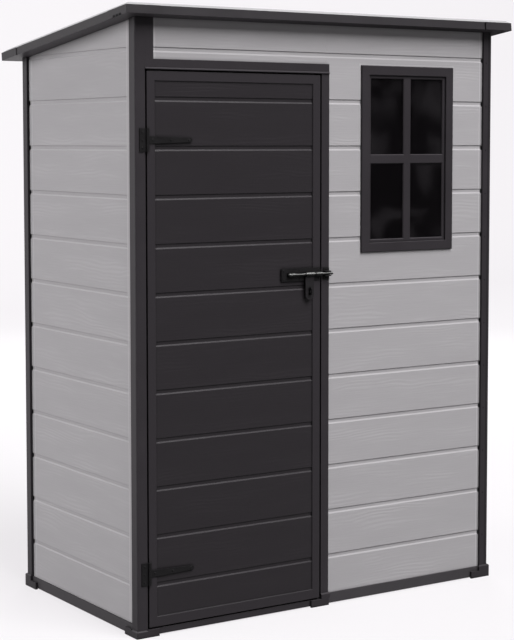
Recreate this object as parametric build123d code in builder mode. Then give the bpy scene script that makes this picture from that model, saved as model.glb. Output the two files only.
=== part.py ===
from build123d import *
import os
from math import atan2, cos, degrees, radians, tan

# Plastic garden shed with a pent roof, a single door and a four-pane window.
# Millimetres. +Z is up, the door faces -Y, and the origin is on the ground
# under the middle of the roof.

# Overall sizes, over the outer faces of the corner posts
width = 1504
depth = 835
front_height = 2034
roof_slope = 7.0
front_overhang = 50
back_overhang = 58
side_overhang = 55

# Posts, and the wall panels that slide into their slots
post_size = 38
post_round = 6
panel_recess = 9
panel_thickness = 18
panel_seat = 10

# Plank relief moulded into the panels and the door
board_pitch = 160
top_groove_rise = 39
groove_depth = 2.5
groove_flat = 12
groove_drop = 17
side_groove_margin = 33

# Feet, base rails and floor
foot_proud = 5
foot_slope = 4
foot_flare = 5
foot_height = 45
foot_toe = 42
foot_sole = 6
ground_gap = 4
rail_height = 40
rail_recess = 4
rail_width = 35
sill_height = 25
floor_thickness = 18

# Doorway, beside the left front post and under a strip of wall
doorway_width = 698
over_door_height = 134
header_height = 33
jamb_width = 32
jamb_head_width = 31
header_lip = 4
header_lip_height = 6
header_lip_slope = 3.5
stop_reach = 10
stop_thickness = 8

# Door leaf
door_gap = 6
door_thickness = 24
stile_width = 31
top_rail_width = 32
bottom_rail_width = 34
door_field_recess = 3.5
door_field_bevel = 2

# Hinges
hinge_leaf_length = 76
hinge_leaf_width = 23
hinge_plate = 3
hinge_pin_radius = 2.5
hinge_knuckle_radius = 5
hinge_clearance = 0.1
knuckle_play = 0.5
pin_forward = 6.3
lower_hinge_rise = 181
upper_hinge_drop = 223
strap_length = 164
strap_root = 24
strap_tip = 14
strap_start = 6

# Bolt, its keeper and the padlock hasp
bolt_height = 1176
bolt_radius = 4.5
bolt_forward = 12
bolt_length = 187
bolt_overrun = 8
bolt_end_chamfer = 1
bolt_clearance = 0.3
bolt_plate_length = 163
bolt_plate_height = 44
bolt_plate_thickness = 3
bolt_plate_round = 3
guide_width = 26
guide_wall = 2
guide_end_inset = 24
keeper_width = 25
keeper_height = 42
keeper_gap = 1
ear_thickness = 4
hasp_width = 35
hasp_drop = 88
hasp_thickness = 3
hasp_sleeve_radius = 7.5
hasp_set_back = 1
hasp_inset = 33
staple_thickness = 3
staple_height = 24
staple_drop = 59
staple_reach = 24
eye_radius = 4
eye_forward = 17
slot_clearance = 2.5

# Window, midway between the latch jamb and the right post, level with the header
window_width = 413
window_height = 658
window_border = 33.5
window_proud = 8
window_lap = 14
window_edge_bevel = 2
window_reveal_bevel = 1.5
sash_border = 12
sash_bar = 34
sash_bevel = 3
sash_setback = 7
sash_depth = 16
glass_setback = 6
glass_thickness = 3
glass_lap = 6

# Roof: a dark skirt with a soffit, a deck inside it and a pale sheet on top
fascia_height = 28
fascia_thickness = 6
soffit_thickness = 4
soffit_reach = 35
sheet_thickness = 10
sheet_inset = 3
sheet_bevel = 14
deck_skin = 8
deck_rib = 12
deck_bays = 8
cap_thickness = 2.5
cap_length = 125
cap_round = 5

# Planes and levels that follow from the sizes
LEFT, RIGHT, FRONT, BACK = -1, 1, -1, 1
front = -(depth + back_overhang - front_overhang) / 2
back = front + depth
post_inner = post_size - panel_seat
roof_plane = Plane(
    origin=(0, front, front_height), x_dir=(1, 0, 0),
    z_dir=Vector(0, 0, 1).rotate(Axis.X, -roof_slope),
)
wall_top = front_height + front_overhang
door_left = post_size + door_gap
door_right = post_size + doorway_width - door_gap
jamb_left = post_size + doorway_width
jamb_right = jamb_left + jamb_width
header_top = front_height - over_door_height
doorway_height = header_top - header_height
door_bottom = sill_height + door_gap
door_top = doorway_height - door_gap
top_groove_height = header_top + top_groove_rise
pin_x = -width / 2 + door_left
pin_y = front - pin_forward
bolt_y = front - bolt_forward
bolt_bore = bolt_radius + bolt_clearance


def in_x(side, near, far):
    """The x range from near to far, measured inward from a side's post face."""
    return sorted((side * (width / 2 - near), side * (width / 2 - far)))


def in_y(side, near, far):
    """The y range from near to far, measured inward from the front or back post face."""
    middle = (front + back) / 2
    return sorted((middle + side * (depth / 2 - near), middle + side * (depth / 2 - far)))


def around(centre, size):
    """The range of the given size with its middle at centre."""
    return (centre - size / 2, centre + size / 2)


def block(x, y, z, mode=Mode.ADD):
    """Adds or cuts the box over three ranges."""
    with Locations((x[0], y[0], z[0])):
        Box(x[1] - x[0], y[1] - y[0], z[1] - z[0], align=Align.MIN, mode=mode)


def groove_levels(bottom, top):
    """Heights of the ledges between boards that lie whole between bottom and top."""
    count = int(top_groove_height // board_pitch) + 1
    levels = [top_groove_height - board_pitch * k for k in range(count)]
    return [level for level in levels if bottom + groove_drop < level < top]


def cut_grooves(plane, levels, length):
    """Cuts the plank grooves: local x runs out of the face, local y is up."""
    with BuildSketch(plane) as section:
        for level in levels:
            with BuildLine():
                Polyline(
                    (1, level), (-groove_depth, level),
                    (-groove_depth, level - groove_flat),
                    (0, level - groove_drop), (1, level - groove_drop),
                    close=True,
                )
            make_face()
    extrude(section.sketch, amount=length, mode=Mode.SUBTRACT)


def under_roof():
    """Cuts the piece in hand along the slope of the soffit."""
    split(bisect_by=roof_plane, keep=Keep.BOTTOM)


def save(piece, name):
    """Names a finished piece and writes it."""
    piece.part.label = name
    export_step(piece.part, f"parts/{name}.step")


os.makedirs("parts", exist_ok=True)

# Corner feet: shoes round the outer faces of the posts, with a low toe along each rail
toe_end = post_size + foot_toe
with BuildPart() as corner_feet:
    for side in (LEFT, RIGHT):
        for end in (FRONT, BACK):
            beside_door = side == LEFT and end == FRONT
            shoe_end = post_size if beside_door else post_size + foot_flare
            shoe_top = sill_height if beside_door else foot_height
            block(in_x(side, -foot_proud, shoe_end), in_y(end, -foot_proud, post_size),
                  (0, shoe_top))
            chamfer(corner_feet.edges(Select.LAST).group_by(Axis.Z)[-1], foot_slope)
            block(in_x(side, post_size, toe_end), in_y(end, -foot_proud, rail_recess),
                  (0, sill_height))
            block(in_x(side, -foot_proud, rail_recess), in_y(end, post_size, toe_end),
                  (0, sill_height))
            block(in_x(side, 0, shoe_end), in_y(end, 0, post_size),
                  (foot_sole, foot_height), Mode.SUBTRACT)
            block(in_x(side, post_size, toe_end), in_y(end, rail_recess, post_size),
                  (0, foot_sole), Mode.SUBTRACT)
save(corner_feet, "corner_feet")

# Middle feet: one under the latch jamb in front, one under the middle post at the back
with BuildPart() as middle_feet:
    block(in_x(LEFT, jamb_left - foot_toe, jamb_right), in_y(FRONT, -foot_proud, rail_recess),
          (0, sill_height))
    block(in_x(LEFT, jamb_left, jamb_right + foot_flare), in_y(FRONT, -foot_proud, 0),
          (sill_height, foot_height))
    chamfer(middle_feet.edges().group_by(Axis.Z)[-1].sort_by(Axis.Y)[0], foot_slope)
    block(around(0, 2 * foot_toe), in_y(BACK, -foot_proud, panel_recess), (0, sill_height))
    block(around(0, post_size), in_y(BACK, -foot_proud, 0), (sill_height, foot_height))
save(middle_feet, "middle_feet")

# Base rails between the posts, under the walls
rail_z = (ground_gap, rail_height)
for side, name in ((LEFT, "base_rail_left"), (RIGHT, "base_rail_right")):
    with BuildPart() as base_rail:
        block(in_x(side, rail_recess, post_size), (front + post_size, back - post_size), rail_z)
    save(base_rail, name)

with BuildPart() as base_rail_front:
    block((-width / 2 + jamb_right, width / 2 - post_size),
          in_y(FRONT, rail_recess, rail_recess + rail_width), rail_z)
save(base_rail_front, "base_rail_front")

with BuildPart() as base_rail_back:
    block(in_x(LEFT, post_size, width - post_size),
          in_y(BACK, panel_recess, post_size), rail_z)
save(base_rail_back, "base_rail_back")

# Low sill under the door and the latch jamb
with BuildPart() as door_sill:
    block(in_x(LEFT, post_size, jamb_right), in_y(FRONT, rail_recess, rail_recess + rail_width),
          (ground_gap, sill_height))
save(door_sill, "door_sill")

# Floor in two panels between the rails
floor_y = (front + rail_recess + rail_width, back - post_size)
for side, name in ((LEFT, "floor_left"), (RIGHT, "floor_right")):
    with BuildPart() as floor_panel:
        block(in_x(side, post_size, width / 2), floor_y,
              (sill_height - floor_thickness, sill_height))
    save(floor_panel, name)

# Corner posts: square, round on the outer corner, with a slot for each panel's edge
slot = (panel_recess, panel_recess + panel_thickness)
seat = (post_inner, post_size)
for side, side_name in ((LEFT, "left"), (RIGHT, "right")):
    for end, end_name in ((FRONT, "front"), (BACK, "back")):
        with BuildPart() as post:
            block(in_x(side, 0, post_size), in_y(end, 0, post_size), (foot_sole, wall_top))
            outer_edge = post.edges().filter_by(Axis.Z)
            outer_edge = outer_edge.sort_by(Axis.X)[:2] if side == LEFT else (
                outer_edge.sort_by(Axis.X)[-2:])
            outer_edge = outer_edge.sort_by(Axis.Y)[0 if end == FRONT else -1]
            fillet(outer_edge, post_round)
            block(in_x(side, *slot), in_y(end, *seat), (rail_height, wall_top), Mode.SUBTRACT)
            if end == BACK or side == RIGHT:
                block(in_x(side, *seat), in_y(end, *slot), (rail_height, wall_top),
                      Mode.SUBTRACT)
            under_roof()
        save(post, f"post_{end_name}_{side_name}")

# Middle post of the back wall, slotted on both sides
with BuildPart() as post_back_middle:
    block(around(0, post_size), in_y(BACK, 0, post_size), (rail_height, wall_top))
    block(around(0, post_size), in_y(BACK, panel_recess, post_size), (ground_gap, rail_height),
          Mode.SUBTRACT)
    for side in (LEFT, RIGHT):
        block(sorted((side * (post_size / 2 - panel_seat), side * post_size / 2)),
              in_y(BACK, *slot), (rail_height, wall_top), Mode.SUBTRACT)
    under_roof()
save(post_back_middle, "post_back_middle")

# Hinge jamb: a stop behind the leaf, and a full-depth strip above the doorway
stop_y = in_y(FRONT, post_size - stop_thickness, post_size)
strip_right = post_size + jamb_head_width
with BuildPart() as door_jamb_left:
    block(in_x(LEFT, post_size, strip_right), stop_y, (sill_height, doorway_height))
    block(in_x(LEFT, post_size, strip_right), in_y(FRONT, 0, post_size),
          (doorway_height, wall_top))
    block(in_x(LEFT, strip_right - panel_seat, strip_right), in_y(FRONT, *slot),
          (header_top, wall_top), Mode.SUBTRACT)
    under_roof()
save(door_jamb_left, "door_jamb_left")

# Latch jamb: slotted for the front panel, with its stop behind the leaf
with BuildPart() as door_jamb_right:
    block(in_x(LEFT, jamb_left, jamb_right), in_y(FRONT, 0, post_size),
          (sill_height, doorway_height))
    block(in_x(LEFT, jamb_right - panel_seat, jamb_right), in_y(FRONT, *slot),
          (rail_height, doorway_height), Mode.SUBTRACT)
    block(in_x(LEFT, jamb_left - stop_reach, jamb_left), stop_y, (sill_height, doorway_height))
save(door_jamb_right, "door_jamb_right")

# Header: a beam over the leaf with a sloped drip lip and a stop behind
with BuildPart() as door_header:
    block(in_x(LEFT, strip_right, jamb_right), in_y(FRONT, 0, post_size),
          (doorway_height, header_top))
    block(in_x(LEFT, post_size, jamb_right), in_y(FRONT, -header_lip, 0),
          (doorway_height, doorway_height + header_lip_height))
    chamfer(door_header.edges().filter_by(Axis.X).sort_by(Axis.Y)[:2].sort_by(Axis.Z)[-1],
            header_lip_slope)
    block(in_x(LEFT, strip_right, jamb_left - stop_reach), stop_y,
          (doorway_height - stop_reach, doorway_height))
    block(in_x(LEFT, jamb_right - panel_seat, jamb_right), in_y(FRONT, *slot),
          (doorway_height, header_top), Mode.SUBTRACT)
save(door_header, "door_header")

# Side walls: plank relief outside, cut to the slope of the roof
side_levels = groove_levels(rail_height, wall_top)
for side, name in ((LEFT, "wall_left"), (RIGHT, "wall_right")):
    with BuildPart() as side_wall:
        block(in_x(side, *slot), (front + post_inner, back - post_inner),
              (rail_height, wall_top))
        face = side * (width / 2 - panel_recess)
        relief = Plane(origin=(face, front + post_size + side_groove_margin, 0),
                       x_dir=(side, 0, 0), z_dir=(0, -side, 0))
        cut_grooves(relief, side_levels, -side * (depth - post_size - side_groove_margin))
        under_roof()
    save(side_wall, name)

# Back walls, either side of the middle post
for side, name in ((LEFT, "wall_back_left"), (RIGHT, "wall_back_right")):
    with BuildPart() as back_wall:
        block(sorted((side * (post_size / 2 - panel_seat), side * (width / 2 - post_inner))),
              in_y(BACK, *slot), (rail_height, wall_top))
        relief = Plane(origin=(0, back - panel_recess, 0), x_dir=(0, 1, 0), z_dir=(1, 0, 0))
        cut_grooves(relief, side_levels, side * width / 2)
        under_roof()
    save(back_wall, name)

# Front wall to the right of the door, with the window cut through
window_x = around((jamb_right - post_size) / 2, window_width)
window_z = (header_top - window_height, header_top)
panel_split = jamb_right - panel_seat
front_face = front + panel_recess
with BuildPart() as wall_front_right:
    block(in_x(LEFT, panel_split, width - post_inner), in_y(FRONT, *slot),
          (rail_height, wall_top))
    relief = Plane(origin=(-width / 2 + panel_split, front_face, 0),
                   x_dir=(0, -1, 0), z_dir=(-1, 0, 0))
    cut_grooves(relief, groove_levels(rail_height, wall_top), panel_split - width)
    block((window_x[0] + window_lap, window_x[1] - window_lap), in_y(FRONT, *slot),
          (window_z[0] + window_lap, window_z[1] - window_lap), Mode.SUBTRACT)
    under_roof()
save(wall_front_right, "wall_front_right")

# Front wall over the door
with BuildPart() as wall_over_door:
    block(in_x(LEFT, strip_right - panel_seat, panel_split), in_y(FRONT, *slot),
          (header_top, wall_top))
    relief = Plane(origin=(-width / 2 + panel_split, front_face, 0),
                   x_dir=(0, -1, 0), z_dir=(-1, 0, 0))
    cut_grooves(relief, groove_levels(header_top, wall_top), panel_split)
    under_roof()
save(wall_over_door, "wall_over_door")

# Window frame: a lip on the panel's face and a sleeve through the wall
sash_x = (window_x[0] + window_border, window_x[1] - window_border)
sash_z = (window_z[0] + window_border, window_z[1] - window_border)
lip_front = panel_recess - window_proud
with BuildPart() as window_frame:
    block(window_x, in_y(FRONT, lip_front, panel_recess), window_z)
    block((window_x[0] + window_lap, window_x[1] - window_lap), in_y(FRONT, *slot),
          (window_z[0] + window_lap, window_z[1] - window_lap))
    block(sash_x, in_y(FRONT, lip_front, slot[1]), sash_z, Mode.SUBTRACT)
    lip_edges = window_frame.faces().sort_by(Axis.Y)[0].edges()
    reveal = lip_edges.group_by(SortBy.LENGTH)
    chamfer(ShapeList(reveal[0] + reveal[2]), window_reveal_bevel)
    rim = window_frame.faces().sort_by(Axis.Y)[0].outer_wire().edges()
    chamfer(rim, window_edge_bevel)
save(window_frame, "window_frame")

# Moulded sash: a thin rim, rebated for the glass, and a shallow cross in front of it
sash_front = lip_front + sash_setback
sash_back = sash_front + sash_depth
glass_front = sash_front + glass_setback
glass_x = (sash_x[0] + glass_lap, sash_x[1] - glass_lap)
glass_z = (sash_z[0] + glass_lap, sash_z[1] - glass_lap)
window_middle = (sum(window_x) / 2, sum(window_z) / 2)
with BuildPart() as window_sash:
    block(sash_x, in_y(FRONT, sash_front, sash_back), sash_z)
    block((sash_x[0] + sash_border, sash_x[1] - sash_border), in_y(FRONT, sash_front, sash_back),
          (sash_z[0] + sash_border, sash_z[1] - sash_border), Mode.SUBTRACT)
    block(glass_x, in_y(FRONT, glass_front, sash_back), glass_z, Mode.SUBTRACT)
    block(around(window_middle[0], sash_bar), in_y(FRONT, sash_front, glass_front), sash_z)
    block(sash_x, in_y(FRONT, sash_front, glass_front), around(window_middle[1], sash_bar))
    front_wires = window_sash.faces().sort_by(Axis.Y)[0].inner_wires()
    chamfer([edge for wire in front_wires for edge in wire.edges()], sash_bevel)
save(window_sash, "window_sash")

# One clear sheet in the sash's rebate, against the back of the cross
with BuildPart() as window_glass:
    block(glass_x, in_y(FRONT, glass_front, glass_front + glass_thickness), glass_z)
save(window_glass, "window_glass")

# Door leaf: stiles and rails round a recessed field of boards
leaf_x = in_x(LEFT, door_left, door_right)
field_x = (leaf_x[0] + stile_width, leaf_x[1] - stile_width)
field_z = (door_bottom + bottom_rail_width, door_top - top_rail_width)
with BuildPart() as door_leaf:
    block(leaf_x, in_y(FRONT, 0, door_thickness), (door_bottom, door_top))
    block(field_x, in_y(FRONT, 0, door_field_recess), field_z, Mode.SUBTRACT)
    chamfer(door_leaf.faces().sort_by(Axis.Y)[0].inner_wires()[0].edges(), door_field_bevel)
    relief = Plane(origin=(field_x[0], front + door_field_recess, 0),
                   x_dir=(0, -1, 0), z_dir=(-1, 0, 0))
    cut_grooves(relief, groove_levels(*field_z), field_x[0] - field_x[1])
save(door_leaf, "door_leaf")

# Hinges: a leaf on the post carries the pin, and a tapered strap turns on it
knuckle = hinge_leaf_length / 3
pin_bore = hinge_pin_radius + hinge_clearance
hinge_heights = {"lower": door_bottom + lower_hinge_rise, "upper": door_top - upper_hinge_drop}
for name, centre in hinge_heights.items():
    leaf_z = around(centre, hinge_leaf_length)
    with BuildPart() as hinge_leaf:
        plate_right = pin_x - hinge_knuckle_radius - knuckle_play
        plate_x = (plate_right - hinge_leaf_width, plate_right)
        block(plate_x, (front - hinge_plate, front), leaf_z)
        for end_z in ((leaf_z[0], leaf_z[0] + knuckle), (leaf_z[1] - knuckle, leaf_z[1])):
            with BuildSketch(Plane.XY.offset(end_z[0])):
                with Locations((pin_x, pin_y)):
                    Circle(hinge_knuckle_radius)
            extrude(amount=knuckle)
            block((plate_right, pin_x), (front - hinge_plate, front), end_z)
        with BuildSketch(Plane.XY.offset(leaf_z[0])):
            with Locations((pin_x, pin_y)):
                Circle(hinge_pin_radius)
        extrude(amount=hinge_leaf_length)
    save(hinge_leaf, f"hinge_leaf_{name}")

    strap_x = (pin_x + strap_start, pin_x + strap_start + strap_length)
    with BuildPart() as hinge_strap:
        with BuildSketch(Plane.XZ.offset(-front)):
            with BuildLine():
                root_top = Line((pin_x, centre + strap_root / 2),
                                (strap_x[0], centre + strap_root / 2))
                upper = Line(root_top @ 1, (strap_x[1] - strap_tip / 2, centre + strap_tip / 2))
                nose = ThreePointArc(upper @ 1, (strap_x[1], centre),
                                     (strap_x[1] - strap_tip / 2, centre - strap_tip / 2))
                lower = Line(nose @ 1, (strap_x[0], centre - strap_root / 2))
                root_low = Line(lower @ 1, (pin_x, centre - strap_root / 2))
                Line(root_low @ 1, root_top @ 0)
            make_face()
        extrude(amount=hinge_plate)
        with BuildSketch(Plane.XY.offset(centre - knuckle / 2 + knuckle_play)):
            with Locations((pin_x, pin_y)):
                Circle(hinge_knuckle_radius)
        extrude(amount=knuckle - 2 * knuckle_play)
        with BuildSketch(Plane.XY.offset(leaf_z[0])):
            with Locations((pin_x, pin_y)):
                Circle(pin_bore)
        extrude(amount=hinge_leaf_length, mode=Mode.SUBTRACT)
    save(hinge_strap, f"hinge_strap_{name}")

# Bolt plate on the leaf
plate_x = (leaf_x[1] - bolt_plate_length, leaf_x[1])
plate_front = front - bolt_plate_thickness
with BuildPart() as bolt_plate:
    block(plate_x, (plate_front, front), around(bolt_height, bolt_plate_height))
    fillet(bolt_plate.edges().filter_by(Axis.Y).sort_by(Axis.X)[:2], bolt_plate_round)
save(bolt_plate, "bolt_plate")

# Two guides on the plate, arched over the bar that slides in them
guide_height = 2 * (bolt_bore + guide_wall)
left_guide = (plate_x[0] + guide_end_inset, plate_x[0] + guide_end_inset + guide_width)
right_guide = (leaf_x[1] - guide_width, leaf_x[1])
with BuildPart() as bolt_guides:
    for guide_x in (left_guide, right_guide):
        with BuildSketch(Plane.YZ.offset(guide_x[0])):
            with Locations((bolt_y, bolt_height)):
                Circle(bolt_bore + guide_wall)
            with Locations((plate_front, bolt_height)):
                Rectangle(plate_front - bolt_y, guide_height, align=(Align.MAX, Align.CENTER))
            with Locations((bolt_y, bolt_height)):
                Circle(bolt_bore, mode=Mode.SUBTRACT)
        extrude(amount=guide_width)
save(bolt_guides, "bolt_guides")

# Round bolt bar, shot through the keeper
bar_right = -width / 2 + jamb_right + bolt_overrun
with BuildPart() as bolt_bar:
    with BuildSketch(Plane.YZ.offset(bar_right - bolt_length)):
        with Locations((bolt_y, bolt_height)):
            Circle(bolt_radius)
    extrude(amount=bolt_length)
    chamfer(bolt_bar.edges().filter_by(GeomType.CIRCLE), bolt_end_chamfer)
save(bolt_bar, "bolt_bar")

# Keeper on the latch jamb: two ears above and below the bar, open in front
keeper_x = in_x(LEFT, jamb_left + door_gap, jamb_left + door_gap + keeper_width)
ear_inner = bolt_radius + keeper_gap
with BuildPart() as bolt_keeper:
    block(keeper_x, (plate_front, front), around(bolt_height, keeper_height))
    for ear in (-1, 1):
        block(keeper_x, (bolt_y - bolt_radius, front),
              sorted((bolt_height + ear * ear_inner,
                      bolt_height + ear * (ear_inner + ear_thickness))))
save(bolt_keeper, "bolt_keeper")

# Hasp: a sleeve round the bar and a hanging plate with a slot for the staple
hasp_x = (leaf_x[1] - hasp_inset - hasp_width, leaf_x[1] - hasp_inset)
hasp_middle = sum(hasp_x) / 2
hasp_y = (bolt_y + hasp_set_back, bolt_y + hasp_set_back + hasp_thickness)
staple_middle = bolt_height - staple_drop
tongue_height = bolt_height - hasp_drop + hasp_width / 2
slot_height = staple_height + 2 * slot_clearance
slot_width = staple_thickness + 2 * slot_clearance
with BuildPart() as bolt_hasp:
    with BuildSketch(Plane.XZ.offset(-hasp_y[1])):
        with BuildLine():
            left_edge = Line((hasp_x[0], bolt_height), (hasp_x[0], tongue_height))
            tongue = ThreePointArc(left_edge @ 1, (hasp_middle, bolt_height - hasp_drop),
                                   (hasp_x[1], tongue_height))
            right_edge = Line(tongue @ 1, (hasp_x[1], bolt_height))
            Line(right_edge @ 1, left_edge @ 0)
        make_face()
        with Locations((hasp_middle, staple_middle)):
            Rectangle(slot_width, slot_height, mode=Mode.SUBTRACT)
    extrude(amount=hasp_thickness)
    with BuildSketch(Plane.YZ.offset(hasp_x[0])):
        with Locations((bolt_y, bolt_height)):
            Circle(hasp_sleeve_radius)
    extrude(amount=hasp_width)
    with BuildSketch(Plane.YZ.offset(hasp_x[0])):
        with Locations((bolt_y, bolt_height)):
            Circle(bolt_bore)
    extrude(amount=hasp_width, mode=Mode.SUBTRACT)
save(bolt_hasp, "bolt_hasp")

# Staple for a padlock, through the hasp's slot
with BuildPart() as padlock_staple:
    with BuildSketch(Plane.YZ.offset(hasp_middle - staple_thickness / 2)):
        with Locations((front + door_field_recess, staple_middle)):
            Rectangle(staple_reach + door_field_recess, staple_height,
                      align=(Align.MAX, Align.CENTER))
        with Locations((front - eye_forward, staple_middle)):
            Circle(eye_radius, mode=Mode.SUBTRACT)
    extrude(amount=staple_thickness)
    outer_edges = padlock_staple.edges().filter_by(Axis.X).sort_by(Axis.Y)[:2]
    fillet(outer_edges, eye_radius)
save(padlock_staple, "padlock_staple")

# Roof outline in the plane of the soffit: local x across, local y down the slope
eave_x = width / 2 + side_overhang
eave_front = -front_overhang / cos(radians(roof_slope))
eave_back = (depth + back_overhang) / cos(radians(roof_slope)) - (
    fascia_height * tan(radians(roof_slope)))


def roof_corner(side, end, inset):
    """A corner of the roof's outline, moved inward by inset."""
    x = side * (eave_x - inset)
    return (x, eave_front + inset) if end == FRONT else (x, eave_back - inset)


def mitred(first, second, outer, inner, height):
    """A board along one eave from outer to inner inset, mitred at both corners."""
    with BuildSketch(roof_plane) as outline:
        with BuildLine():
            Polyline(roof_corner(*first, outer), roof_corner(*second, outer),
                     roof_corner(*second, inner), roof_corner(*first, inner), close=True)
        make_face()
    extrude(outline.sketch, amount=height)


def roof_slab(inset, base, height, taper=0):
    """A slab in the roof's slope that stays inset from its outline, with sides that lean in."""
    left_front = roof_corner(LEFT, FRONT, inset)
    right_back = roof_corner(RIGHT, BACK, inset)
    with BuildSketch(roof_plane.offset(base)) as outline:
        with Locations((0, (left_front[1] + right_back[1]) / 2)):
            Rectangle(right_back[0] - left_front[0], right_back[1] - left_front[1])
    extrude(outline.sketch, amount=height, taper=taper)


# Fascias: an upright board with a soffit flange that rests on the walls
corners = {"front": ((LEFT, FRONT), (RIGHT, FRONT)), "back": ((LEFT, BACK), (RIGHT, BACK)),
           "left": ((LEFT, FRONT), (LEFT, BACK)), "right": ((RIGHT, FRONT), (RIGHT, BACK))}
flange_inset = max(front_overhang, back_overhang, side_overhang) + soffit_reach
web_inner = cap_thickness + fascia_thickness
for name, (first, second) in corners.items():
    with BuildPart() as fascia:
        mitred(first, second, cap_thickness, web_inner, fascia_height)
        mitred(first, second, cap_thickness, flange_inset, soffit_thickness)
    save(fascia, f"fascia_{name}")

# Corner caps: thin angles that wrap the fascias at each corner
with BuildPart() as roof_corner_caps:
    for side in (LEFT, RIGHT):
        for end in (FRONT, BACK):
            corner = roof_corner(side, end, 0)
            inner = roof_corner(side, end, cap_thickness)
            far = roof_corner(side, end, cap_length)
            with BuildSketch(roof_plane):
                with BuildLine():
                    Polyline(corner, (far[0], corner[1]), (far[0], inner[1]), inner,
                             (inner[0], far[1]), (corner[0], far[1]), close=True)
                make_face()
            extrude(amount=fascia_height)
            cap_edges = roof_corner_caps.edges(Select.LAST)
            fillet(cap_edges.sort_by_distance(roof_plane.from_local_coords(
                (corner[0], corner[1], fascia_height / 2)))[0], cap_round)
save(roof_corner_caps, "roof_corner_caps")

# Deck inside the skirt, on the soffit flange, with ribs down the slope underneath
bay_pitch = 2 * (eave_x - flange_inset) / deck_bays
bay_length = eave_back - eave_front - 2 * flange_inset
with BuildPart() as roof_deck:
    roof_slab(web_inner, soffit_thickness, fascia_height - soffit_thickness)
    with BuildSketch(roof_plane.offset(soffit_thickness)):
        with Locations((0, (eave_front + eave_back) / 2)):
            with GridLocations(bay_pitch, 0, deck_bays, 1):
                Rectangle(bay_pitch - deck_rib, bay_length)
    extrude(amount=fascia_height - soffit_thickness - deck_skin, mode=Mode.SUBTRACT)
save(roof_deck, "roof_deck")

# Pale sheet with a bevelled edge, over the deck and the skirt
with BuildPart() as roof_sheet:
    roof_slab(sheet_inset, fascia_height, sheet_thickness,
              degrees(atan2(sheet_bevel, sheet_thickness)))
save(roof_sheet, "roof_sheet")
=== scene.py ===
import math

import bpy
import numpy as np
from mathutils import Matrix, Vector


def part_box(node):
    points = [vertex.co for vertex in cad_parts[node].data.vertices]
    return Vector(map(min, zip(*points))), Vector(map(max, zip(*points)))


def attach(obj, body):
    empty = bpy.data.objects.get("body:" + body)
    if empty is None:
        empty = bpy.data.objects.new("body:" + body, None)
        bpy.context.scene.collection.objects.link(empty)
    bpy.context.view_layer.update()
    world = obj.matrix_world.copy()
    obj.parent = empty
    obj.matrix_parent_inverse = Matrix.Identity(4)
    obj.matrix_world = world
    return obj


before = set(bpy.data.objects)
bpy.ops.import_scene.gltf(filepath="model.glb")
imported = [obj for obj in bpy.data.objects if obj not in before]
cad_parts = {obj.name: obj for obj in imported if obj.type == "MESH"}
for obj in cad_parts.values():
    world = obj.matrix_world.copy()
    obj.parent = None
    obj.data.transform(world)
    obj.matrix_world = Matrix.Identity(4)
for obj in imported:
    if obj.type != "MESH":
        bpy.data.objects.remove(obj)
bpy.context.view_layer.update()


# Wall panels. Twin-walled panels of light grey resin, moulded as boards with an
# embossed wood grain that runs along them. Their edges slide into slots in the
# posts, and the long ledges between the boards are part of the moulding.
class Wire:
    """A socket of a shader tree. Arithmetic on it adds Math nodes; node() adds any other node."""

    def __init__(self, tree, socket=None):
        self.tree, self.socket = tree, socket

    def node(self, kind, settings=(), sockets=(), out=0):
        """Adds a node: its settings first, then the values or wires of its sockets."""
        made = self.tree.nodes.new("ShaderNode" + kind)
        for name, value in dict(settings).items():
            setattr(made, name, value)
        for name, value in dict(sockets).items():
            if isinstance(value, Wire):
                self.tree.links.new(value.socket, made.inputs[name])
            else:
                made.inputs[name].default_value = value
        return Wire(self.tree, made.outputs[out])

    def math(self, operation, *values):
        """A Math node whose first value is this wire."""
        return self.node("Math", {"operation": operation}, enumerate((self, *values)))

    def __add__(self, other):
        return self.math("ADD", other)

    def __sub__(self, other):
        return self.math("SUBTRACT", other)

    def __rsub__(self, other):
        return self * -1 + other

    def __mul__(self, other):
        return self.math("MULTIPLY", other)

    def __truediv__(self, other):
        return self.math("DIVIDE", other)

    __radd__, __rmul__ = __add__, __mul__


def finish(name, **shader):
    """A material with one Principled shader, and its first wire. Keywords set its sockets."""
    material = bpy.data.materials.new(name)
    material.use_nodes = True
    principled = material.node_tree.nodes["Principled BSDF"]
    for socket, value in shader.items():
        principled.inputs[socket.replace("_", " ")].default_value = value
    return material, Wire(material.node_tree)


def feed(material, **wires):
    """Links wires to sockets of the material's shader."""
    principled = material.node_tree.nodes["Principled BSDF"]
    for socket, wire in wires.items():
        material.node_tree.links.new(wire.socket, principled.inputs[socket.replace("_", " ")])


def dress(material, *nodes):
    """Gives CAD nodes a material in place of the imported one."""
    for node in nodes:
        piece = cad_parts[node]
        if not piece.material_slots:
            piece.data.materials.append(material)
        for place in piece.material_slots:
            place.material = material


def shade(wire, factor, dark, light):
    """The colour between two colours at a factor. Either may be a wire. The Mix node's
    sockets for colours are 6 and 7, and 2 on the way out."""
    ends = [end if isinstance(end, Wire) else (*end, 1) for end in (dark, light)]
    return wire.node("Mix", {"data_type": "RGBA"}, {0: factor, 6: ends[0], 7: ends[1]}, 2)


def axis(vector, which):
    """The X, Y or Z of a vector, by its letter or number."""
    return vector.node("SeparateXYZ", (), {"Vector": vector}, which)


def ramp(value, start, end, low=0.0, high=1.0, kind="LINEAR"):
    """A value carried from one range to another and held at its ends. The Map Range
    node's sockets 0 to 4 are the value and the two ranges."""
    return value.node("MapRange", {"interpolation_type": kind},
                      {0: value, 1: start, 2: end, 3: low, 4: high})


def noise(spot, scale, detail):
    """Soft random clouds from 0 to 1, about as many to the metre as the scale says."""
    return spot.node("TexNoise", (), {"Vector": spot, "Scale": scale, "Detail": detail})


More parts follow.
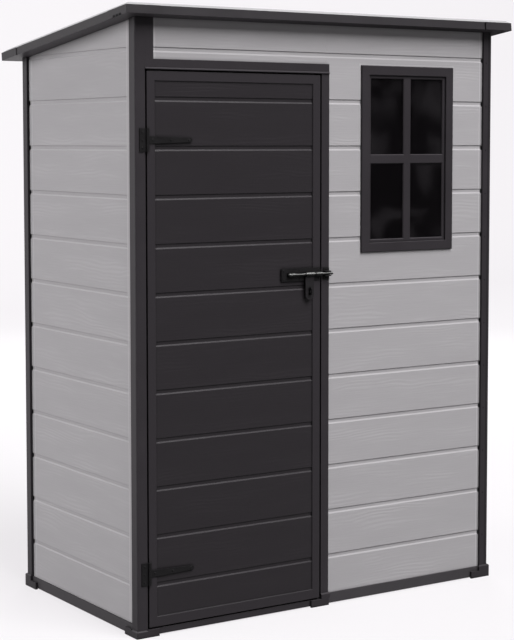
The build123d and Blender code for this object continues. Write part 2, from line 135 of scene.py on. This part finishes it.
def raised(wire, height, depth, strength, radius):
    """A normal that raises a face by a height from 0 to 1 and rounds its edges."""
    rounded = wire.node("Bevel", {"samples": 4}, {"Radius": radius})
    return wire.node("Bump", (), {"Strength": strength, "Distance": depth, "Height": height,
                                  "Normal": rounded})


def facing_up(wire):
    """1 on what faces up, 0 on what stands and -1 on what faces down."""
    return axis(wire.node("TexCoord", out="Normal"), "Z")


SEAM_REACH, SEAM_FLOOR = 0.011, 0.35


def dusted_lit_and_shaded(wire, colour, dust_and_highlight, where=1.0, seam_shade_power=1.0):
    """A colour with a film of dust and painted highlight on what faces up, and painted shade
    from ambient occlusion in seams and corners, down to a floor. The dust and painted
    highlight keep to where a factor is 1. A seam shade power above 1 deepens the painted
    shade in slight corners too."""
    # Dust and painted highlight: a paler film on what faces up.
    film = ramp(facing_up(wire), 0.3, 0.75)
    # Painted shade: ambient occlusion darkens the colour in seams and corners.
    seam = wire.node("AmbientOcclusion", {"samples": 4}, {"Distance": SEAM_REACH}, "AO")
    seam = seam.math("POWER", seam_shade_power)
    dusty_and_lit = shade(wire, film * 0.8 * where, colour, dust_and_highlight)
    return shade(wire, seam * (1 - SEAM_FLOOR) + SEAM_FLOOR, (0, 0, 0), dusty_and_lit)


BOARD_PITCH = 0.16
TOP_LEDGE_RISE = 0.039
LEDGE_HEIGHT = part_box("door_header")[1].z + TOP_LEDGE_RISE


def wood_grain(wire, along):
    """Embossed grain as a height from 0 to 1: long streaks along the board, gathered
    in soft patches, with a new pattern on each board."""
    spot = wire.node("TexCoord", out="Object")
    run, up = axis(spot, along), axis(spot, "Z")
    board = ((LEDGE_HEIGHT - up) / BOARD_PITCH).math("FLOOR")

    def stretched(along_board, up_board, detail, shift):
        place = wire.node("CombineXYZ", (), {"X": (run + board * shift) * along_board,
                                             "Y": up * up_board, "Z": board * 1.9})
        return noise(place, 1.0, detail)

    bend = stretched(3.0, 9, 2, 3.7)
    rings = (up * 480 + bend * 30).math("SINE") * 0.5 + 0.5
    clouds = stretched(2.6, 15, 2, 5.3)
    patches = ramp(clouds, 0.46, 0.68, kind="SMOOTHSTEP")
    streaks = stretched(11, 330, 3, 2.9)
    return streaks * 0.55 + rings * patches * 0.45, clouds


def inside(wire, low, high):
    """1 where the object coordinates are between two corners in x and z, else 0."""
    spot = wire.node("TexCoord", out="Object")
    mask = 1.0
    for k in (0, 2):
        place = axis(spot, k)
        mask = place.math("GREATER_THAN", low[k]) * place.math("LESS_THAN", high[k]) * mask
    return mask


LINE_REACH = 0.003


def line_at(wire, letter, place):
    """1 on a fine line where an object coordinate has a value, falling to 0 at its reach."""
    off = (axis(wire.node("TexCoord", out="Object"), letter) - place).math("ABSOLUTE")
    return ramp(off, LINE_REACH * 0.4, LINE_REACH, 1.0, 0.0)


def moulded_panel(name, along, dark, light, dust_and_highlight, rough=0.62, border=None, margins=(),
                  around=None, seam_shade_power=1.0, **shader):
    """Matt resin with the embossed grain. The grain's valleys are a shade darker. A border
    is a colour outside a field's low and high corners, where the moulding is plain.
    Margins are places along the board of a raised line with a painted highlight on it, and
    around is the low and high corners of a cut-out with a lip of painted highlight."""
    material, wire = finish(name, **shader)
    grain, patches = wood_grain(wire, along)
    colour = shade(wire, grain * 0.5 + patches * 0.5, dark, light)
    field = 1.0
    if border:
        field = inside(wire, *border[1:])
        colour = shade(wire, field, border[0], colour)
        grain = grain * field
    relief = grain
    for margin in margins:
        # Painted highlight: the raised line is paler.
        line = line_at(wire, along, margin)
        colour = shade(wire, line * 0.7, colour, dust_and_highlight)
        relief = line * 0.8 + relief
    if around:
        # Painted highlight: a pale lip round the cut-out.
        colour = shade(wire, inside(wire, *around) * 0.9, colour, dust_and_highlight)
    feed(material, Base_Color=dusted_lit_and_shaded(wire, colour, dust_and_highlight, field, seam_shade_power=seam_shade_power),
         Normal=raised(wire, relief, 0.0009, 0.55, 0.002), Roughness=rough - grain * 0.08)
    return material


# The greys are those of the grain's valleys, of its tops and of dust with painted highlight.
GREY = ((0.335, 0.322, 0.334), (0.410, 0.394, 0.408), (0.48, 0.465, 0.48))
LIP = Vector((0.006, 0, 0.006))
low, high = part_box("window_frame")
front_margins = (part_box("door_jamb_left")[1].x + 0.01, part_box("post_front_right")[0].x - 0.012)
side_margins = (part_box("post_front_left")[1].y + 0.03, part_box("post_back_left")[0].y - 0.024)
back_margins = (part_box("post_back_left")[1].x + 0.02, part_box("post_back_right")[0].x - 0.02)
grey_front = moulded_panel("grey_panel_front", "X", *GREY, margins=front_margins,
                           around=(low - LIP, high + LIP), Specular_IOR_Level=0.3)
grey_deep = moulded_panel("grey_panel_deep", "Y", *GREY, margins=side_margins,
                          Specular_IOR_Level=0.3)
grey_back = moulded_panel("grey_panel_back", "X", *GREY, margins=back_margins,
                          Specular_IOR_Level=0.3)
dress(grey_front, "wall_front_right", "wall_over_door")
dress(grey_deep, "wall_left", "wall_right")
dress(grey_back, "wall_back_left", "wall_back_right")


# Dark frame. Extruded anthracite resin: posts, jambs, header, base rails and
# fascias, with moulded feet and corner caps. It has a low sheen, soft edges, a film of
# dust and painted highlight on what faces up, and painted shade in seams and corners.
ROOF_FALL = math.radians(7)
CAP_CORNER_INSET, CAP_CORNER_HEIGHT = 0.005, 2.0395
CLIP_START, CLIP_PITCH, CLIP_COUNT = 0.0357, 0.02, 3
CLIP_HALF_LENGTH, CLIP_HALF_HEIGHT, CLIP_RISE = 0.34, 0.0045, 0.0028


def clip_slots(wire):
    """1 in short slots along the lower edge of each side face of the front corner caps,
    where they are clipped to the fascia, else 0. The half length is a share of the pitch."""
    low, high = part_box("roof_corner_caps")
    spot = wire.node("TexCoord", out="Object")
    across, deep, up = (axis(spot, letter) for letter in "XYZ")
    step = (deep - (low.y + CLIP_START)) / CLIP_PITCH
    mark = (step.math("FRACT") - 0.5).math("ABSOLUTE").math("LESS_THAN", CLIP_HALF_LENGTH)
    counted = step.math("GREATER_THAN", 0) * step.math("LESS_THAN", CLIP_COUNT)
    fall = math.tan(ROOF_FALL)
    row = CAP_CORNER_HEIGHT + (low.y + CAP_CORNER_INSET) * fall + CLIP_RISE
    off = (deep * fall + up - row).math("ABSOLUTE")
    side = across.math("ABSOLUTE").math("GREATER_THAN", high.x - 0.0002)
    return mark * counted * off.math("LESS_THAN", CLIP_HALF_HEIGHT) * side


def dark_resin(name, base, dust_and_highlight, rough, specular=0.15, seam=None, clips=False):
    """Low-sheen resin with faint clouds of colour and a fine stipple. Underneath it is rougher
    to the right, and to the left its colour is paler, a painted light as if lit from below.
    A seam is the place along X of a fine dark line where two moulded halves meet. Clips adds
    the clip slots, painted black as the shade inside them."""
    material, wire = finish(name, Specular_IOR_Level=specular)
    spot = wire.node("TexCoord", out="Object")
    clouds = noise(spot, 7.0, 4.0)
    stipple = noise(spot, 650.0, 3.0)
    colour = shade(wire, clouds, [0.82 * c for c in base], [1.18 * c for c in base])
    if seam:
        colour = shade(wire, line_at(wire, "X", seam) * 0.6, colour, (0, 0, 0))
    sheen = clouds * 0.12 + rough
    # Painted shade: the clip slots are painted black.
    if clips:
        slots = clip_slots(wire)
        colour = shade(wire, slots, colour, (0, 0, 0))
        sheen = sheen + slots * 0.6
    # Painted light: what faces down is paler to the left and rougher to the right.
    under = ramp(facing_up(wire) * -1, 0.3, 0.8)
    right_share = ramp(axis(spot, "X"), -0.5, 0.5)
    colour = shade(wire, under * (1 - right_share), colour, [1.2 * c for c in dust_and_highlight])
    feed(material, Base_Color=dusted_lit_and_shaded(wire, colour, dust_and_highlight),
         Normal=raised(wire, stipple, 0.0004, 0.3, 0.0016),
         Roughness=sheen + under * right_share * 0.6)
    return material


# Dust and painted highlight on what faces up, for the dark resins.
DARK_DUST_AND_HIGHLIGHT = (0.048, 0.043, 0.048)
FRAME_BASE = (0.0300, 0.0264, 0.0300)
RAIL_BASE = (0.0500, 0.0460, 0.0500)
FASCIA_BASE = (0.0315, 0.0285, 0.0315)
# Near black: painted shade for slots, holes and gaps.
SLOT_BASE = (0.0035, 0.003, 0.0035)
low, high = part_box("post_front_right")
post_seam = low.x * 0.35 + high.x * 0.65
frame_resin = dark_resin("frame_resin", FRAME_BASE, DARK_DUST_AND_HIGHLIGHT, 0.36)
post_resin = dark_resin("post_resin", FRAME_BASE, DARK_DUST_AND_HIGHLIGHT, 0.36, seam=post_seam)
rail_resin = dark_resin("rail_resin", RAIL_BASE, DARK_DUST_AND_HIGHLIGHT, 0.45)
fascia_resin = dark_resin("fascia_resin", FASCIA_BASE, DARK_DUST_AND_HIGHLIGHT, 0.38)
cap_resin = dark_resin("cap_resin", FASCIA_BASE, DARK_DUST_AND_HIGHLIGHT, 0.38, clips=True)
dress(frame_resin, "post_front_left", "post_back_left", "post_back_right",
      "post_back_middle", "door_jamb_left", "door_jamb_right", "door_header", "door_sill",
      "corner_feet", "middle_feet", "window_frame", "window_sash")
dress(post_resin, "post_front_right")
dress(rail_resin, "base_rail_left", "base_rail_right", "base_rail_front", "base_rail_back")
dress(fascia_resin, "fascia_front", "fascia_back", "fascia_left", "fascia_right")
dress(cap_resin, "roof_corner_caps")


def add_piece(name, points, faces, material, body):
    """Puts arrays of points and faces into a piece that rides on a body."""
    mesh = bpy.data.meshes.new(name)
    mesh.from_pydata(points.reshape(-1, 3).tolist(), [], faces.reshape(-1, 4).tolist())
    mesh.materials.append(material)
    mesh.shade_smooth()
    piece = bpy.data.objects.new(name, mesh)
    bpy.context.collection.objects.link(piece)
    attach(piece, body)


def ring_faces(count, rings, sides):
    """Faces between rings of points, from the outer ring inwards, for a count of pieces."""
    r, c = np.meshgrid(np.arange(rings - 1), np.arange(sides), indexing="ij")
    after = (c + 1) % sides
    quad = np.stack([r * sides + c, r * sides + after, (r + 1) * sides + after,
                     (r + 1) * sides + c], -1)
    start = np.arange(count)[:, None, None, None] * rings * sides
    return quad[None] + start


def dark_slots(centres, along, up, length, height, rise=0.0003, sides=24):
    """Slots in a face, seen as thin dark pads of painted shade. The outline is a superellipse:
    the square roots of cosine and sine carry it along and up. Along crossed with up faces
    outwards."""
    along, up = np.array(along, float), np.array(up, float)
    turn = np.linspace(0, 2 * math.pi, sides, endpoint=False)
    c, s = (np.sign(f) * np.sqrt(np.abs(f)) for f in (np.cos(turn), np.sin(turn)))
    outline = c[:, None] * along * length / 2 + s[:, None] * up * height / 2
    scale, lift = np.array([(1.0, 0.0), (0.93, 1.0), (0.06, 1.0)]).T
    pad = scale[:, None, None] * outline + (lift * rise)[:, None, None] * np.cross(along, up)
    return np.asarray(centres)[:, None, None, :] + pad[None], ring_faces(len(centres), 3, sides)


BOARD_LEVELS = 12
SLOT_WIDTH, SLOT_DROP = 0.006, 0.0095
PIN_HOLE, PIN_HOLE_INSET, PIN_HOLE_DROP = 0.004, 0.012, 0.018
TO_FRONT, TO_RIGHT, UPWARD = (0, -1, 0), (1, 0, 0), (0, 0, 1)
levels = LEDGE_HEIGHT - BOARD_PITCH * np.arange(BOARD_LEVELS)
slot_shade = dark_resin("slot_shade", SLOT_BASE, SLOT_BASE, 0.6, 0.05)

# The ends of the ledges leave holes in the posts' slots, at each board, drawn as pads of painted
# shade.
edge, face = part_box("post_back_left")[0].y - 0.003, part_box("wall_left")[0].x
spots = [(face, edge, z - SLOT_DROP) for z in levels[1:]]
points, faces = dark_slots(spots, TO_FRONT, UPWARD, SLOT_WIDTH, 0.016)
add_piece("left_slot_ends", points, faces, slot_shade, "shed")
edge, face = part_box("post_front_right")[0].x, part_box("wall_front_right")[0].y
spots = [(edge - 0.0015, face, z - SLOT_DROP) for z in levels]
points, faces = dark_slots(spots, TO_RIGHT, UPWARD, SLOT_WIDTH, 0.015)
add_piece("front_slot_ends", points, faces, slot_shade, "shed")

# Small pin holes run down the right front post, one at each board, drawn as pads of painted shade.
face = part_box("post_front_right")[0].y
spots = [(edge + PIN_HOLE_INSET, face, z - PIN_HOLE_DROP) for z in levels]
points, faces = dark_slots(spots, TO_RIGHT, UPWARD, PIN_HOLE, PIN_HOLE)
add_piece("post_pin_holes", points, faces, slot_shade, "shed")

# The right front corner cap's joint stands a little open on the front: a pad of painted shade
# fills the gap.
CAP_JOINT_INSET, CAP_JOINT_DROP = 0.1265, 0.0152
cap_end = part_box("roof_corner_caps")[1].x - CAP_JOINT_INSET
low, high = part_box("fascia_front")
spots = [(cap_end, low.y, high.z - CAP_JOINT_DROP)]
points, faces = dark_slots(spots, TO_RIGHT, UPWARD, 0.005, 0.029)
add_piece("cap_joint", points, faces, slot_shade, "shed")


# Door. One anthracite moulding: plain stiles and rails round a field of boards
# with the same embossed grain as the walls.
STILE, TOP_RAIL, BOTTOM_RAIL = 0.031, 0.032, 0.034
DOOR_DARK, DOOR_LIGHT = (0.0190, 0.0162, 0.0188), (0.0270, 0.0238, 0.0268)
# The second colour is dust and painted highlight.
DOOR_PLAIN, DOOR_DUST_AND_HIGHLIGHT = (0.0270, 0.0235, 0.0270), (0.080, 0.073, 0.080)
low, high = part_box("door_leaf")
field = (low + Vector((STILE, 0, BOTTOM_RAIL)), high - Vector((STILE, 0, TOP_RAIL)))
# The door's grooves take a deeper painted shade than the walls.
door_resin = moulded_panel("door_resin", "X", DOOR_DARK, DOOR_LIGHT, DOOR_DUST_AND_HIGHLIGHT, 0.42,
                           (DOOR_PLAIN, *field), seam_shade_power=2.5, Specular_IOR_Level=0.2)
dress(door_resin, "door_leaf")


# Roof. A pale sheet with bevelled edges lies on a grey deck that is ribbed
# underneath. Both are moulded resin with a fine grain.
def pale_resin(name, base, rough):
    """Pale resin with a soft mottle and a fine stipple."""
    material, wire = finish(name, Specular_IOR_Level=0.3)
    spot = wire.node("TexCoord", out="Object")
    mottle = noise(spot, 5.0, 5.0)
    stipple = noise(spot, 420.0, 3.0)
    bump = wire.node("Bump", (), {"Strength": 0.35, "Distance": 0.0006, "Height": stipple})
    feed(material, Normal=bump, Roughness=rough + mottle * 0.15,
         Base_Color=shade(wire, mottle, [0.9 * c for c in base], base))
    return material


ROOF_PALE, INNER_PALE = (0.39, 0.385, 0.395), (0.34, 0.33, 0.34)
roof_resin = pale_resin("roof_resin", ROOF_PALE, 0.5)
inner_resin = pale_resin("inner_resin", INNER_PALE, 0.55)
dress(roof_resin, "roof_sheet")
dress(inner_resin, "roof_deck", "floor_left", "floor_right")


# Ironmongery. Black powder-coated steel hinges and plates, a bright zinc-plated
# bolt bar with its guides, and small pan-head screws that hold them.
BLACK_COAT, HASP_COAT = (0.0105, 0.0098, 0.0105), (0.0165, 0.0150, 0.0165)
# Dust and painted highlight on what faces up, for the steel.
STEEL_DUST_AND_HIGHLIGHT = (0.025, 0.023, 0.025)
# Painted shade and painted highlight: the colours of metal underneath and on top.
SHADED_METAL, LIT_METAL = (0.02, 0.02, 0.02), (0.25, 0.25, 0.246)


def coated_steel(name, coat, collar=None):
    """Black powder coat: fine orange-peel bump, and bare steel above a collar's height, which
    takes painted light: bright on top and dark underneath.
    """
    material, wire = finish(name, Specular_IOR_Level=0.12)
    spot = wire.node("TexCoord", out="Object")
    peel = noise(spot, 500.0, 2.0)
    wear = noise(spot, 60.0, 4.0)
    coat = shade(wire, wear, [0.65 * c for c in coat], [1.35 * c for c in coat])
    coat = dusted_lit_and_shaded(wire, coat, STEEL_DUST_AND_HIGHLIGHT)
    if collar:
        bare = axis(spot, "Z").math("GREATER_THAN", collar)
        coat = shade(wire, bare, coat, lit_above_shaded_below(wire, wear))
        feed(material, Metallic=bare)
    feed(material, Base_Color=coat, Normal=raised(wire, peel, 0.0003, 0.3, 0.0008),
         Roughness=0.36 + wear * 0.2)
    return material


def lit_above_shaded_below(wire, mottle):
    """Painted light on metal: painted highlight where it faces up, painted shade where it faces
    down.
    """
    # Painted light: brighter as the face turns up.
    lit_share = ramp(facing_up(wire), -0.15, 0.6)
    return shade(wire, lit_share * (mottle + 0.5), SHADED_METAL, LIT_METAL)


def plated_steel():
    """Zinc plate: brushed along the bar, with painted light: bright above and dark underneath."""
    material, wire = finish("zinc_steel", Metallic=1.0)
    spot = wire.node("TexCoord", out="Object")
    stretch = wire.node("Mapping", {"vector_type": "POINT"},
                        {"Vector": spot, "Scale": (40, 900, 900)})
    brushed = noise(stretch, 1.0, 3.0)
    feed(material, Roughness=0.24 + brushed * 0.2, Base_Color=lit_above_shaded_below(wire, brushed))
    return material


HASP_COLLAR_DROP = 0.003
hasp_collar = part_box("bolt_bar")[0].z - HASP_COLLAR_DROP
black_steel = coated_steel("black_steel", BLACK_COAT)
hasp_steel = coated_steel("hasp_steel", HASP_COAT, hasp_collar)
zinc_steel = plated_steel()
dress(black_steel, "hinge_leaf_lower", "hinge_leaf_upper", "hinge_strap_lower",
      "hinge_strap_upper", "bolt_plate", "bolt_keeper", "padlock_staple")
dress(hasp_steel, "bolt_hasp")
dress(zinc_steel, "bolt_bar", "bolt_guides")


def pan_heads(centres, radius=0.0038, rise=0.0016, sides=20):
    """Screw heads that face -Y: a domed profile turned round each centre, with a
    round socket sunk in the middle. Radius and rise run along the profile."""
    profile = np.array([(1.0, 0.0), (0.97, 0.55), (0.8, 0.88), (0.55, 1.0), (0.42, 1.0),
                        (0.38, 0.45), (0.02, 0.4)])
    turn = np.linspace(0, 2 * math.pi, sides, endpoint=False)
    out, height = profile[:, 0, None] * radius, profile[:, 1, None] * rise
    ring = np.stack([out * np.cos(turn), -height + 0 * turn, out * np.sin(turn)], -1)
    points = np.asarray(centres)[:, None, None, :] + ring[None]
    return points, ring_faces(len(centres), len(profile), sides)


# The screws' centres are set in from the plates' edges.
PLATE_THICKNESS = 0.003
for level in ("lower", "upper"):
    low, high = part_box(f"hinge_leaf_{level}")
    leaf_x, leaf_y = low.x + 0.011, high.y - PLATE_THICKNESS
    spots = [(leaf_x, leaf_y, z) for z in np.linspace(low.z + 0.012, high.z - 0.012, 3)]
    points, faces = pan_heads(spots)
    add_piece(f"hinge_leaf_screws_{level}", points, faces, black_steel, "shed")
    low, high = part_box(f"hinge_strap_{level}")
    strap_y, middle = high.y - PLATE_THICKNESS, (low.z + high.z) / 2
    spots = [(x, strap_y, middle) for x in np.linspace(low.x + 0.026, high.x - 0.012, 3)]
    points, faces = pan_heads(spots)
    add_piece(f"hinge_strap_screws_{level}", points, faces, black_steel, "door")

SMALL_HEAD = 0.003
low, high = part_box("bolt_plate")
spots = [(x, low.y, z) for x in (low.x + 0.008, low.x + 0.075, high.x - 0.008)
         for z in (low.z + 0.007, high.z - 0.007)]
points, faces = pan_heads(spots, SMALL_HEAD)
add_piece("bolt_plate_screws", points, faces, black_steel, "door")
low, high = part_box("bolt_keeper")
keeper_x, keeper_y = (low.x + high.x) / 2, high.y - PLATE_THICKNESS
spots = [(keeper_x, keeper_y, z) for z in (low.z + 0.006, high.z - 0.006)]
points, faces = pan_heads(spots, SMALL_HEAD)
add_piece("keeper_screws", points, faces, black_steel, "shed")


# Window pane. A clear acrylic sheet behind the sash. The room behind it is
# unlit, so it looks nearly black.
PANE_DARK, PANE_HAZE = (0.0030, 0.0024, 0.0030), (0.016, 0.0143, 0.016)


def acrylic():
    """Smoky clear sheet, a little uneven so that what it reflects is soft."""
    material, wire = finish("window_acrylic", Specular_IOR_Level=0.045, Alpha=0.6)
    spot = wire.node("TexCoord", out="Object")
    waves = noise(spot, 9.0, 2.0)
    bump = wire.node("Bump", (), {"Strength": 0.15, "Distance": 0.002, "Height": waves})
    film = wire.node("TexNoise", (), {"Vector": spot, "Scale": 7.0, "Detail": 1.0,
                                      "Distortion": 0.6})
    haze = ramp(film, 0.42, 0.72, kind="SMOOTHSTEP")
    feed(material, Normal=bump, Roughness=0.1 + waves * 0.12,
         Base_Color=shade(wire, haze, PANE_DARK, PANE_HAZE))
    return material


dress(acrylic(), "window_glass")


# Studio. A pale floor that curves up into a backdrop, a large soft key above the
# front, a broad fill from the left, a small one behind, and a plain pale world.
# The floor and the world show pale to the camera and in gloss, where the room in front
# is darker. They also light the shed, most of all its left wall.
def pale_sheet(name, reach, radius, back):
    """A floor strip that turns up into a wall: straight, quarter circle, straight,
    carried sideways by reach."""
    turn = np.linspace(0, math.pi / 2, 24)
    run = np.concatenate([[-reach], back - radius + radius * np.sin(turn), [back]])
    rise = np.concatenate([[0.0], radius - radius * np.cos(turn), [reach]])
    side = np.linspace(-reach, reach, 3)
    points = np.stack(np.broadcast_arrays(side[:, None], run[None], rise[None]), -1)
    rows, cols = np.meshgrid(np.arange(2), np.arange(len(run) - 1), indexing="ij")
    corner = rows * len(run) + cols
    faces = np.stack([corner, corner + len(run), corner + len(run) + 1, corner + 1], -1)
    mesh = bpy.data.meshes.new(name)
    mesh.from_pydata(points.reshape(-1, 3).tolist(), [], faces.reshape(-1, 4).tolist())
    mesh.shade_smooth()
    sheet = bpy.data.objects.new(name, mesh)
    bpy.context.collection.objects.link(sheet)
    return sheet


ROOM_IN_FRONT = 0.15


def shown_pale(wire, behind):
    """1 to the camera, and in gloss as much as a factor says, which is 1 behind the shed.
    Transparent Depth also lets light from here onto the shed: without it the left wall
    renders about 12 levels of 164 darker. The lamps and the greys are set with it."""
    seen = wire.node("LightPath", out="Is Camera Ray")
    gloss = wire.node("LightPath", out="Is Glossy Ray") * behind
    depth = wire.node("LightPath", out="Transparent Depth")
    return (seen + gloss + depth).math("MINIMUM", 1.0)


backdrop = pale_sheet("backdrop", 30.0, 4.0, 14.0)
PAPER = (0.93, 0.903, 0.93)
paper, wire = finish("backdrop_paper", Base_Color=(0.18, 0.18, 0.18, 1), Roughness=0.9,
                     Specular_IOR_Level=0.0, Emission_Strength=1.0)
spot = wire.node("TexCoord", out="Object")
away = wire.node("VectorMath", {"operation": "LENGTH"}, {0: spot}, "Value")
glow = ramp(away, 1.0, 9.0, 0.765, 0.868, kind="SMOOTHSTEP")
shown = shown_pale(wire, ramp(axis(spot, "Y"), -1.0, 2.0, ROOM_IN_FRONT, 1.0))
feed(paper, Emission_Color=shade(wire, shown * glow, (0, 0, 0), PAPER))
backdrop.data.materials.append(paper)


def soft_lamp(name, place, aim, size, power):
    """A square area lamp at a place, turned towards a point."""
    lamp = bpy.data.lights.new(name, "AREA")
    lamp.shape, lamp.size, lamp.energy = "SQUARE", size, power
    holder = bpy.data.objects.new(name, lamp)
    bpy.context.collection.objects.link(holder)
    holder.location = place
    away = holder.location - Vector(aim)
    holder.rotation_euler = away.to_track_quat("Z", "Y").to_euler()


soft_lamp("key", (1.95, -12.1, 16.35), (0.0, -0.4, 0.9), 14.4, 5760)
soft_lamp("fill_left", (-14.0, 4.8, 4.1), (-0.7, 0, 0.8), 13.5, 1980)
soft_lamp("fill_back", (4.0, 6.0, 4.0), (0, 0, 1.0), 3.0, 240)

world = bpy.data.worlds.new("studio")
bpy.context.scene.world = world
world.use_nodes = True
sky = world.node_tree.nodes["Background"]
sky.inputs["Color"].default_value = (0.93, 0.925, 0.95, 1)
light = Wire(world.node_tree)
ahead = axis(light.node("TexCoord", out="Generated"), "Y")
shown = shown_pale(light, ramp(ahead, -0.3, 0.3, ROOM_IN_FRONT, 1.0))
WORLD_LEVEL = 0.07
strength = shown * (1 - WORLD_LEVEL) + WORLD_LEVEL
world.node_tree.links.new(strength.socket, sky.inputs["Strength"])


# Camera. Where the photograph was taken from, level with a person's eye.
camera = bpy.data.cameras.new("camera")
camera.sensor_width = 36.0
camera.lens = 96.38
camera.shift_x, camera.shift_y = -0.0216, -0.0834
viewer = bpy.data.objects.new("camera", camera)
viewer.location = (-3.4493, -5.2716, 1.6326)
viewer.rotation_euler = (math.radians(90 - 4.17), 0, math.radians(-33.60))
bpy.context.collection.objects.link(viewer)
bpy.context.scene.camera = viewer

bpy.context.scene.view_settings.view_transform = "Standard"
